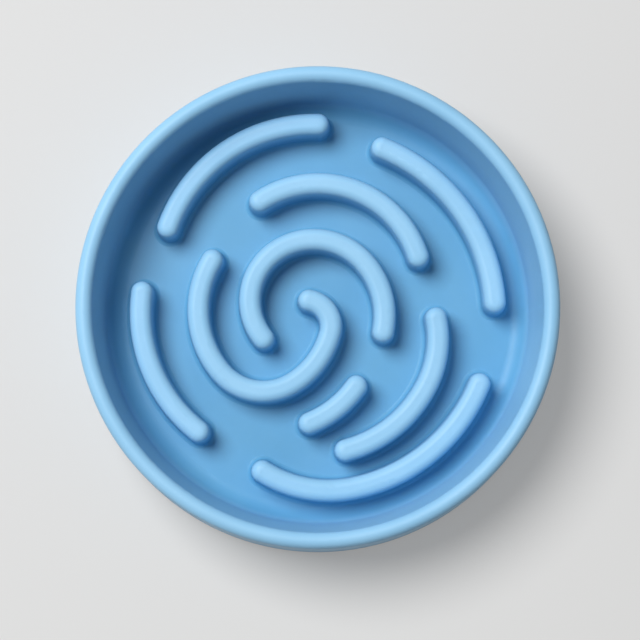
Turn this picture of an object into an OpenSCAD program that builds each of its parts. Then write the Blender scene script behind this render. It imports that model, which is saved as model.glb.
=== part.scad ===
// Slow feeder bowl: a round bowl moulded in one shot, with a maze of raised ridges on its floor
// and rubber feet pressed into its underside. Millimetres. The table is at Z = 0 and the bowl's
// axis is the Z axis.

/* [Bowl] */
// Outside diameter across the rounded rim
rim_d = 210; // [196:1:240]
// Height from the table to the top of the rim
bowl_h = 50; // [48:0.5:58]
// Depth from the top of the rim to the floor
bowl_depth = 40; // [34:0.5:41]
// Width of the rounded rim
rim_w = 7.2; // [6.4:0.1:8.4]
// Thickness of the moulding in its rim, wall, floor and skirt
wall = 2.6; // [2.2:0.1:3]
// Lean of the inner wall from upright, in degrees
wall_lean = 7; // [5:0.5:9]
// Radius where the inner wall meets the floor
floor_fillet = 8; // [6:0.5:10]
// Lean of the outer skirt from upright, in degrees
skirt_lean = 2.5; // [1:0.5:4]

/* [Maze ridges] */
// Height of the ridges above the floor
ridge_h = 17; // [12:0.5:20]
// Width of a ridge across the rounded edges of its top
ridge_w = 9.6; // [7.6:0.1:10.2]
// Radius of the rounded edges of its top
ridge_edge = 3.6; // [2.8:0.1:4.2]
// Draft of the ridge sides from upright, in degrees
ridge_draft = 3; // [1:0.5:4]
// Radius of the fillet where a ridge meets the floor
ridge_fillet = 2.5; // [1.8:0.1:3]
// Thickness of the ridge skin round the hollows that core it from below
ridge_skin = 2.2; // [1.8:0.1:2.6]
// Thickness of the webs left across those hollows
web_t = 1.2; // [0.8:0.1:2]

/* [Underside] */
// Number of stiffening ribs between one foot and the next
ribs_per_bay = 3; // [1:1:4]
// Thickness of a stiffening rib
rib_t = 1.8; // [1.2:0.1:2.4]
// Height of the ribs' lower edge above the skirt's lower edge
rib_lift = 3; // [2:0.5:6]

/* [Feet] */
// Number of rubber feet
foot_count = 6; // [4:1:8]
// Distance from the outside of the rim in to the centre of a foot
foot_inset = 13; // [12:0.5:14]
// Diameter of a foot's pad
foot_d = 11; // [9:0.5:12]
// How far the feet hold the skirt above the table
foot_stand = 1.5; // [1:0.1:2]
// Depth of the pad's recess in its boss
foot_recess = 2; // [1.5:0.1:2.4]
// Diameter of a foot's stem
stem_d = 5; // [4:0.5:6]
// Length of a foot's stem above its pad
stem_l = 3.6; // [2.5:0.1:4]
// Wall of the boss round the pad's recess
boss_wall = 1.6; // [1.2:0.1:2]
// Gap round the pad and the stem in their seats
foot_gap = 0.15; // [0.1:0.05:0.25]

/* [Hidden] */
$fn = 96;

bowl_color = [0.46, 0.72, 0.90];
foot_color = [0.22, 0.23, 0.24];

// How far cutting shapes run past the faces that they cut
over = 1;
// How far a ridge's root reaches down into the floor
root = wall / 2;
// How far a fillet's low edge is sunk, so that it meets the floor at a clear angle
sink = 0.08;
// How far a straight side is drawn inside the curve that it runs into, for the same reason
ease = 0.01;
// Hairline between one arc of a ridge and the next, and the key inside that joins them
hairline = 0.02;
key_l = 1;
key_step = 0.4;

rim_r = rim_d / 2;
bead_r = rim_w / 2;
core_r = bead_r - wall;
ring_r = rim_r - bead_r;
ring_z = bowl_h - bead_r;
floor_z = bowl_h - bowl_depth;
skirt_z = foot_stand;
// Lowest height of the moulding: the skirt's edge, or the floor's underside where that is lower
low_z = min(skirt_z, floor_z - wall);

// Distance out from the ring line, at height z, of a straight wall that leans and is tangent to
// a circle of radius r round the ring line
function reach(r, z, lean) = (r - (z - ring_z) * sin(lean)) / cos(lean);

fillet_z = floor_z + floor_fillet;
fillet_x = ring_r - reach(bead_r + floor_fillet, fillet_z, wall_lean);
// Radius that the maze is laid out on: the wall's line brought down to the floor
maze_r = ring_r - reach(bead_r, floor_z, wall_lean);

// Each ridge is a chain of arcs: start x share, start y share, heading in degrees, and a list of
// bends. A bend is a radius share and a turn in degrees, to the left where it is positive. The
// shares are of maze_r.
ridge_shares = [
    // Outer ring, from upper left clockwise
    [-0.71, 0.405, 70, [[0.74, -72]]],
    [0.315, 0.775, -22.5, [[0.855, -64.5]]],
    [-0.27, -0.76, -33, [[0.585, 43], [0.82, 57]]],
    [-0.835, 0.095, -98, [[0.72, 59.5]]],
    // Second ring
    [-0.27, 0.525, 33, [[0.5, -106]]],
    [0.125, -0.665, 14, [[0.605, 49], [0.48, 38]]],
    [-0.045, -0.535, 21, [[0.49, 33.5]]],
    // Inner ring, and the spiral that hooks into its middle
    [-0.26, -0.13, 128.5, [[0.285, -96], [0.32, -80], [0.38, -55]]],
    [-0.5, 0.245, -121.5, [[0.46, 70.5], [0.265, 82], [0.405, 43], [0.125, 96.5]]],
];

edge_x = ridge_w / 2 - ridge_edge;
edge_z = ridge_h - ridge_edge;

// Distance out, at height z above the floor, of a straight ridge side that leans and is tangent
// to a circle of radius r round the edge's centre
function side_reach(r, z) = edge_x + (r + (edge_z - z) * sin(ridge_draft)) / cos(ridge_draft);

// Distance from a ridge's end to the far side of the web round its end hollow
hollow_end = side_reach(ridge_edge - ridge_skin, -wall) + web_t;

pad_r = foot_d / 2;
stem_r = stem_d / 2;
recess_r = pad_r + foot_gap;
recess_z = foot_stand + foot_recess;
boss_r = recess_r + boss_wall;
boss_top = fillet_z - floor_fillet / 2;
foot_ring_r = rim_r - foot_inset;
pad_edge = foot_stand / 2;
groove_r = pad_r / 2;
groove_w = foot_stand / 3;
stem_edge = stem_r / 4;

// The space inside the bowl, or that space grown by the moulding's thickness
module cavity_section(grow = 0) {
    r = floor_fillet + grow;
    edge_x = ring_r - (bead_r - grow) * cos(wall_lean);
    polygon([
        [0, fillet_z - r],
        [fillet_x, fillet_z - r],
        [fillet_x + r * cos(wall_lean), fillet_z - r * sin(wall_lean)],
        [edge_x, ring_z + (bead_r - grow) * sin(wall_lean)],
        [edge_x, bowl_h + over],
        [0, bowl_h + over],
    ]);
    translate([fillet_x, fillet_z]) circle(r);
}

// Everything under a rim of radius r, out to the skirt and down to height z
module rim_section(r, z) {
    translate([ring_r, ring_z]) circle(r);
    polygon([
        [0, z],
        [ring_r + reach(r, z, skirt_lean), z],
        [ring_r + r * cos(skirt_lean), ring_z + r * sin(skirt_lean)],
        [ring_r - r * cos(wall_lean), ring_z + r * sin(wall_lean)],
        [0, ring_z],
    ]);
}

// The bowl's blank, with its inside still filled: rim, wall, floor and skirt in one section
module blank_section() {
    difference() {
        rim_section(bead_r, low_z);
        difference() {
            rim_section(core_r, low_z - over);
            cavity_section(wall);
        }
    }
}

// Ridge with drafted sides, down to a depth below the floor and set in from its skin
module ridge_section(inset, depth) {
    r = ridge_edge - inset;
    side_r = r - ease;
    shoulder = [edge_x + side_r * cos(ridge_draft), edge_z + side_r * sin(ridge_draft)];
    foot_x = side_reach(side_r, -depth);
    for (side = [-1, 1]) translate([side * edge_x, edge_z]) circle(r);
    polygon([
        [-foot_x, -depth],
        [foot_x, -depth],
        shoulder,
        [edge_x, edge_z + side_r],
        [-edge_x, edge_z + side_r],
        [-shoulder[0], shoulder[1]],
    ]);
}

// Fillet from one side of a ridge down to the floor
module ridge_fillet_section() {
    z = ridge_fillet - sink;
    x = side_reach(ridge_edge + ridge_fillet - 2 * ease, z);
    touch_z = z - ridge_fillet * sin(ridge_draft);
    difference() {
        translate([0, -root]) square([x, root + touch_z]);
        translate([x, z]) circle(ridge_fillet);
    }
}

module filleted_ridge_section() {
    ridge_section(0, root);
    ridge_fillet_section();
    mirror([1, 0]) ridge_fillet_section();
}

// The half of a section that lies on the far side of the axis
module right_half() {
    intersection() {
        children();
        translate([0, -bowl_h]) square([rim_d, 2 * bowl_h]);
    }
}

// Centre of the arc that a bend makes from a place on a ridge
function bend_centre(place, bend) =
    let (arm = sign(bend[1]) * bend[0] * maze_r)
    [place[0] - arm * sin(place[2]), place[1] + arm * cos(place[2])];

// Where a ridge has got to after its first n bends, as x, y and heading
function place_after(ridge, n) =
    n == 0
        ? [ridge[0] * maze_r, ridge[1] * maze_r, ridge[2]]
        : let (
              from = place_after(ridge, n - 1),
              bend = ridge[3][n - 1],
              centre = bend_centre(from, bend),
              heading = from[2] + bend[1],
              arm = sign(bend[1]) * bend[0] * maze_r
          )
          [centre[0] + arm * sin(heading), centre[1] - arm * cos(heading), heading];

// Angle that a length covers on a bend
function bend_angle(length, bend) = length / (bend[0] * maze_r) * 180 / PI;

// Stands its children at the place that a ridge has got to, with +X along the ridge
module at_place(ridge, n) {
    place = place_after(ridge, n);
    translate([place[0], place[1], floor_z]) rotate(place[2]) children();
}

// Sweeps a section round one bend of a ridge, short of the bend's ends by two lengths
module sweep_bend(ridge, i, short_start, short_end) {
    bend = ridge[3][i];
    place = place_after(ridge, i);
    centre = bend_centre(place, bend);
    start = bend_angle(short_start, bend);
    end = bend_angle(short_end, bend);
    turn = bend[1];
    translate([centre[0], centre[1], floor_z])
        rotate(place[2] + (turn > 0 ? start - 90 : end + turn + 90))
        rotate_extrude(angle = abs(turn) - start - end)
        right_half()
        translate([bend[0] * maze_r, 0]) children();
}

// One ridge: its arcs, its round ends, and the keys that join them
module ridge_solid(ridge) {
    last = len(ridge[3]);
    for (i = [0 : last - 1])
        sweep_bend(ridge, i, hairline / 2, hairline / 2) filleted_ridge_section();
    for (i = [0 : last])
        at_place(ridge, i)
            rotate([90, 0, 90])
            linear_extrude(key_l, center = true) ridge_section(key_step, root);
    for (end = [[0, 90], [last, -90]])
        at_place(ridge, end[0])
            rotate(end[1])
            translate([0, hairline / 2, 0])
            rotate_extrude(angle = 180) right_half() filleted_ridge_section();
}

// The hollows that core one ridge from below, with a web at each joint and near each end
module ridge_hollow(ridge) {
    last = len(ridge[3]);
    for (i = [0 : last - 1])
        sweep_bend(
            ridge,
            i,
            i == 0 ? hollow_end : web_t / 2,
            i == last - 1 ? hollow_end : web_t / 2
        ) ridge_section(ridge_skin, wall + over);
    for (i = [0, last])
        at_place(ridge, i)
            rotate_extrude() right_half() ridge_section(ridge_skin, wall + over);
}

module at_foot(i) {
    rotate(i * 360 / foot_count) translate([foot_ring_r, 0, 0]) children();
}

// Boss that carries one foot, run up into the filled blank
module boss() {
    translate([0, 0, skirt_z]) cylinder(h = boss_top - skirt_z, r = boss_r);
}

// Recess for a foot's pad, and the blind hole for its stem
module foot_seat() {
    translate([0, 0, low_z - over]) cylinder(h = recess_z - low_z + over, r = recess_r);
    translate([0, 0, recess_z - over])
        cylinder(h = stem_l + foot_gap + over, r = stem_r + foot_gap);
}

// One upright rib from the wall's back across to the skirt
module rib() {
    inner_x = fillet_x + wall / 2;
    low_z = skirt_z + rib_lift;
    rotate([90, 0, 0])
        linear_extrude(rib_t, center = true)
        polygon([
            [inner_x, low_z],
            [ring_r + reach(core_r + wall / 2, low_z, skirt_lean), low_z],
            [ring_r + core_r + wall / 2, ring_z],
            [fillet_x, ring_z],
            [fillet_x, fillet_z],
            [inner_x, fillet_z],
        ]);
}

module ribs() {
    bay = 360 / foot_count;
    for (i = [0 : foot_count - 1])
        for (k = [1 : ribs_per_bay])
            rotate((i + k / (ribs_per_bay + 1)) * bay) rib();
}

module bowl_body() {
    color(bowl_color)
    difference() {
        union() {
            difference() {
                union() {
                    rotate_extrude() blank_section();
                    ribs();
                    for (i = [0 : foot_count - 1]) at_foot(i) boss();
                }
                rotate_extrude() right_half() cavity_section();
            }
            for (ridge = ridge_shares) ridge_solid(ridge);
        }
        for (ridge = ridge_shares) ridge_hollow(ridge);
        for (i = [0 : foot_count - 1]) at_foot(i) foot_seat();
    }
}

// Half section of a foot: grooved pad with a rounded lower edge, and a stem with an eased tip
module foot_section() {
    stem_z = recess_z + stem_l;
    difference() {
        union() {
            polygon([
                [0, 0],
                [pad_r - pad_edge, 0],
                [pad_r - pad_edge, pad_edge],
                [pad_r, pad_edge],
                [pad_r, recess_z],
                [stem_r, recess_z],
                [stem_r, stem_z - stem_edge],
                [stem_r - stem_edge, stem_z],
                [0, stem_z],
            ]);
            translate([pad_r - pad_edge, pad_edge]) circle(pad_edge);
        }
        translate([groove_r, 0]) circle(groove_w);
    }
}

module foot(i) {
    color(foot_color) at_foot(i) rotate_extrude() foot_section();
}

bowl_body();
for (i = [0 : foot_count - 1])
    foot(i);
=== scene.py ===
# Slow feeder bowl: looks, floor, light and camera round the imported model. Metres.
import math

import bpy
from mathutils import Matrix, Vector

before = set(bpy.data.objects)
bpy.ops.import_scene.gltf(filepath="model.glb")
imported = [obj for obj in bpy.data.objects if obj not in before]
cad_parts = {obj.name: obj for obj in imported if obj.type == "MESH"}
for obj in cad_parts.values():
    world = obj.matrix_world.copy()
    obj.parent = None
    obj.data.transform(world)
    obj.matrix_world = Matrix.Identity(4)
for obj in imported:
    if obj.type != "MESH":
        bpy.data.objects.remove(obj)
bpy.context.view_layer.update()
scene = bpy.context.scene
scene.view_settings.view_transform = "Standard"

# Camera at the photograph's angle: nearly straight above, tipped a little towards the viewer
TARGET = Vector((0.0, 0.0, 0.0465))
ELEVATION = math.radians(84.9)
DISTANCE = 1.0
FOCAL_PX = 2309.5
FRAME_PX = 640
# Pixel of the frame at which the target lies
AIM_PX = (318.0, 305.7)
SENSOR_MM = 36.0
CLIP = (0.01, 20.0)

toward = Vector((0.0, -math.cos(ELEVATION), math.sin(ELEVATION)))
cam_data = bpy.data.cameras.new("camera")
cam_data.sensor_width = SENSOR_MM
cam_data.lens = FOCAL_PX / FRAME_PX * SENSOR_MM
cam_data.clip_start, cam_data.clip_end = CLIP
cam = bpy.data.objects.new("camera", cam_data)
scene.collection.objects.link(cam)
scene.camera = cam
cam.location = TARGET + toward * DISTANCE
off_x = (FRAME_PX / 2 - AIM_PX[0]) / FOCAL_PX * DISTANCE
off_y = (AIM_PX[1] - FRAME_PX / 2) / FOCAL_PX * DISTANCE
screen_up = Vector((0.0, math.sin(ELEVATION), math.cos(ELEVATION)))
aim = TARGET + Vector((off_x, 0.0, 0.0)) + screen_up * off_y
cam.rotation_mode = "QUATERNION"
cam.rotation_quaternion = (aim - cam.location).to_track_quat("-Z", "Y")

# Materials
# Values of the noise at which a colour is fully its first tone and fully its second
RAMP_SPAN = (0.3, 0.7)
GRAIN_DEPTH = 0.0002
# Heights and radii over which the bowl's tone goes from the floor's painted shade to the painted light
# of raised places
RIDGE_Z = (0.013, 0.024)
RIDGE_RADIUS = (0.0925, 0.0905)
RIM_Z = (0.043, 0.048)
OUTSIDE_RADIUS = (0.1000, 0.1020)
WALL_RADIUS = (0.0915, 0.0955)
# Share of the painted light tone that the inner wall has, so the wall is painted lighter than the
# floor all round
WALL_PAINTED_LIGHT_SHARE = 0.8
# Light added to the floor where the camera, a reflection or a clear piece shows it
FLOOR_GLOW = 0.25


def srgb(r, g, b):
    out = []
    for v in (r, g, b):
        v = v / 255.0
        out.append(v / 12.92 if v <= 0.04045 else ((v + 0.055) / 1.055) ** 2.4)
    return (out[0], out[1], out[2], 1.0)


def grey(v):
    return (v, v, v, 1.0)


def new_material(name):
    mat = bpy.data.materials.new(name)
    mat.use_nodes = True
    nodes = mat.node_tree.nodes
    return mat, nodes, mat.node_tree.links, nodes["Principled BSDF"]


def noise(nodes, links, scale, detail, rough=0.5):
    coord = nodes.new("ShaderNodeTexCoord")
    tex = nodes.new("ShaderNodeTexNoise")
    tex.inputs["Scale"].default_value = scale
    tex.inputs["Detail"].default_value = detail
    tex.inputs["Roughness"].default_value = rough
    links.new(coord.outputs["Object"], tex.inputs["Vector"])
    return tex.outputs["Fac"]


def ramp(nodes, links, fac, first, second):
    node = nodes.new("ShaderNodeValToRGB")
    for element, at, color in zip(node.color_ramp.elements, RAMP_SPAN, (first, second)):
        element.position = at
        element.color = color
    links.new(fac, node.inputs["Fac"])
    return node.outputs["Color"]


def bump(nodes, links, shader, height, strength):
    node = nodes.new("ShaderNodeBump")
    node.inputs["Distance"].default_value = GRAIN_DEPTH
    node.inputs["Strength"].default_value = strength
    links.new(height, node.inputs["Height"])
    links.new(node.outputs["Normal"], shader.inputs["Normal"])


def math_node(nodes, links, operation, a, b):
    node = nodes.new("ShaderNodeMath")
    node.operation = operation
    for i, v in enumerate((a, b)):
        if isinstance(v, (int, float)):
            node.inputs[i].default_value = v
        else:
            links.new(v, node.inputs[i])
    return node.outputs["Value"]


def fade(nodes, links, value, span):
    """Goes smoothly from 0 at the span's first value to 1 at its second."""
    node = nodes.new("ShaderNodeMapRange")
    node.interpolation_type = "SMOOTHSTEP"
    node.inputs["From Min"].default_value, node.inputs["From Max"].default_value = span
    links.new(value, node.inputs["Value"])
    return node.outputs["Result"]


def painted_light_share(nodes, links):
    """Share of the painted light tone: 1 on ridge tops, rim and outside, less on the wall and 0 on the
    floor, which keeps the painted shade tone.
    """
    coord = nodes.new("ShaderNodeTexCoord")
    parts = nodes.new("ShaderNodeSeparateXYZ")
    links.new(coord.outputs["Object"], parts.inputs["Vector"])
    height = parts.outputs["Z"]
    flat = nodes.new("ShaderNodeCombineXYZ")
    links.new(parts.outputs["X"], flat.inputs["X"])
    links.new(parts.outputs["Y"], flat.inputs["Y"])
    length = nodes.new("ShaderNodeVectorMath")
    length.operation = "LENGTH"
    links.new(flat.outputs["Vector"], length.inputs[0])
    radius = length.outputs["Value"]
    ridge_z = fade(nodes, links, height, RIDGE_Z)
    ridge = math_node(nodes, links, "MULTIPLY", ridge_z, fade(nodes, links, radius, RIDGE_RADIUS))
    rim = fade(nodes, links, height, RIM_Z)
    outside = fade(nodes, links, radius, OUTSIDE_RADIUS)
    painted_light = math_node(nodes, links, "MULTIPLY", fade(nodes, links, radius, WALL_RADIUS), WALL_PAINTED_LIGHT_SHARE)
    for share in (ridge, rim, outside):
        painted_light = math_node(nodes, links, "MAXIMUM", painted_light, share)
    return painted_light


def mix(nodes, links, fac, a, b):
    node = nodes.new("ShaderNodeMix")
    node.data_type = "RGBA"
    links.new(fac, node.inputs["Factor"])
    links.new(a, node.inputs["A"])
    links.new(b, node.inputs["B"])
    return node.outputs["Result"]


def bowl_material():
    mat, nodes, links, shader = new_material("bowl_plastic")
    cloud = noise(nodes, links, scale=26.0, detail=4.0, rough=0.55)
    # Painted shade and light: the plastic is one colour, but the floor gets a darker tone as shade,
    # and the ridge tops, rim, outside and wall get a lighter one as light
    painted_shade_tone = ramp(nodes, links, cloud, srgb(96, 163, 204), srgb(105, 170, 210))
    painted_light_tone = ramp(nodes, links, cloud, srgb(146, 200, 236), srgb(154, 206, 241))
    painted_light = painted_light_share(nodes, links)
    links.new(mix(nodes, links, painted_light, painted_shade_tone, painted_light_tone), shader.inputs["Base Color"])
    grain = noise(nodes, links, scale=900.0, detail=3.0)
    links.new(ramp(nodes, links, grain, grey(0.40), grey(0.48)), shader.inputs["Roughness"])
    shader.inputs["Specular IOR Level"].default_value = 0.28
    bump(nodes, links, shader, grain, strength=0.12)
    return mat


def rubber_material():
    mat, nodes, links, shader = new_material("foot_rubber")
    cloud = noise(nodes, links, scale=300.0, detail=4.0)
    tone = ramp(nodes, links, cloud, srgb(46, 47, 49), srgb(60, 61, 63))
    links.new(tone, shader.inputs["Base Color"])
    grain = noise(nodes, links, scale=1800.0, detail=3.0)
    links.new(ramp(nodes, links, grain, grey(0.62), grey(0.74)), shader.inputs["Roughness"])
    bump(nodes, links, shader, grain, strength=0.25)
    return mat


def floor_material():
    mat, nodes, links, shader = new_material("floor_grey")
    cloud = noise(nodes, links, scale=1.2, detail=2.0)
    tone = ramp(nodes, links, cloud, srgb(180, 180, 180), srgb(185, 185, 184))
    links.new(tone, shader.inputs["Base Color"])
    shader.inputs["Roughness"].default_value = 0.9
    shader.inputs["Specular IOR Level"].default_value = 0.1
    path = nodes.new("ShaderNodeLightPath")
    seen = path.outputs["Is Camera Ray"]
    for ray in ("Is Glossy Ray", "Is Transmission Ray"):
        seen = math_node(nodes, links, "MAXIMUM", seen, path.outputs[ray])
    glow = math_node(nodes, links, "MULTIPLY", seen, FLOOR_GLOW)
    shader.inputs["Emission Color"].default_value = grey(1.0)
    links.new(glow, shader.inputs["Emission Strength"])
    return mat


def dress(node, mat):
    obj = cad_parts[node]
    obj.data.materials.clear()
    obj.data.materials.append(mat)


FOOT_COUNT = 6

dress("bowl_body", bowl_material())
rubber = rubber_material()
for i in range(FOOT_COUNT):
    dress("foot_%d" % (i + 1), rubber)

# Floor, a little below the feet so that it doesn't share a plane with their lower faces
HALF_SIDE = 6.0
FLOOR_DROP = 0.0002

floor_mesh = bpy.data.meshes.new("floor")
floor_mesh.from_pydata(
    [
        (-HALF_SIDE, -HALF_SIDE, 0.0),
        (HALF_SIDE, -HALF_SIDE, 0.0),
        (HALF_SIDE, HALF_SIDE, 0.0),
        (-HALF_SIDE, HALF_SIDE, 0.0),
    ],
    [],
    [(0, 1, 2, 3)],
)
floor_mesh.materials.append(floor_material())
floor = bpy.data.objects.new("floor", floor_mesh)
floor.location.z = -FLOOR_DROP
scene.collection.objects.link(floor)

# Light: one soft key from the upper left of the photograph, and an even sky
KEY_TURN = math.radians(141.0)
KEY_RISE = math.radians(61.0)
KEY_DISTANCE = 2.4
KEY_SIZE = 1.4
KEY_WATTS = 58.5
SKY_STRENGTH = 0.19

key_from = Vector((
    math.cos(KEY_TURN) * math.cos(KEY_RISE),
    math.sin(KEY_TURN) * math.cos(KEY_RISE),
    math.sin(KEY_RISE),
))
key_data = bpy.data.lights.new("key", "AREA")
key_data.shape = "DISK"
key_data.size = KEY_SIZE
key_data.energy = KEY_WATTS
key = bpy.data.objects.new("key", key_data)
scene.collection.objects.link(key)
key.location = key_from.normalized() * KEY_DISTANCE
key.rotation_mode = "QUATERNION"
key.rotation_quaternion = (-key.location).to_track_quat("-Z", "Y")

world = bpy.data.worlds.new("world")
world.use_nodes = True
sky = world.node_tree.nodes["Background"]
sky.inputs["Color"].default_value = grey(1.0)
sky.inputs["Strength"].default_value = SKY_STRENGTH
scene.world = world
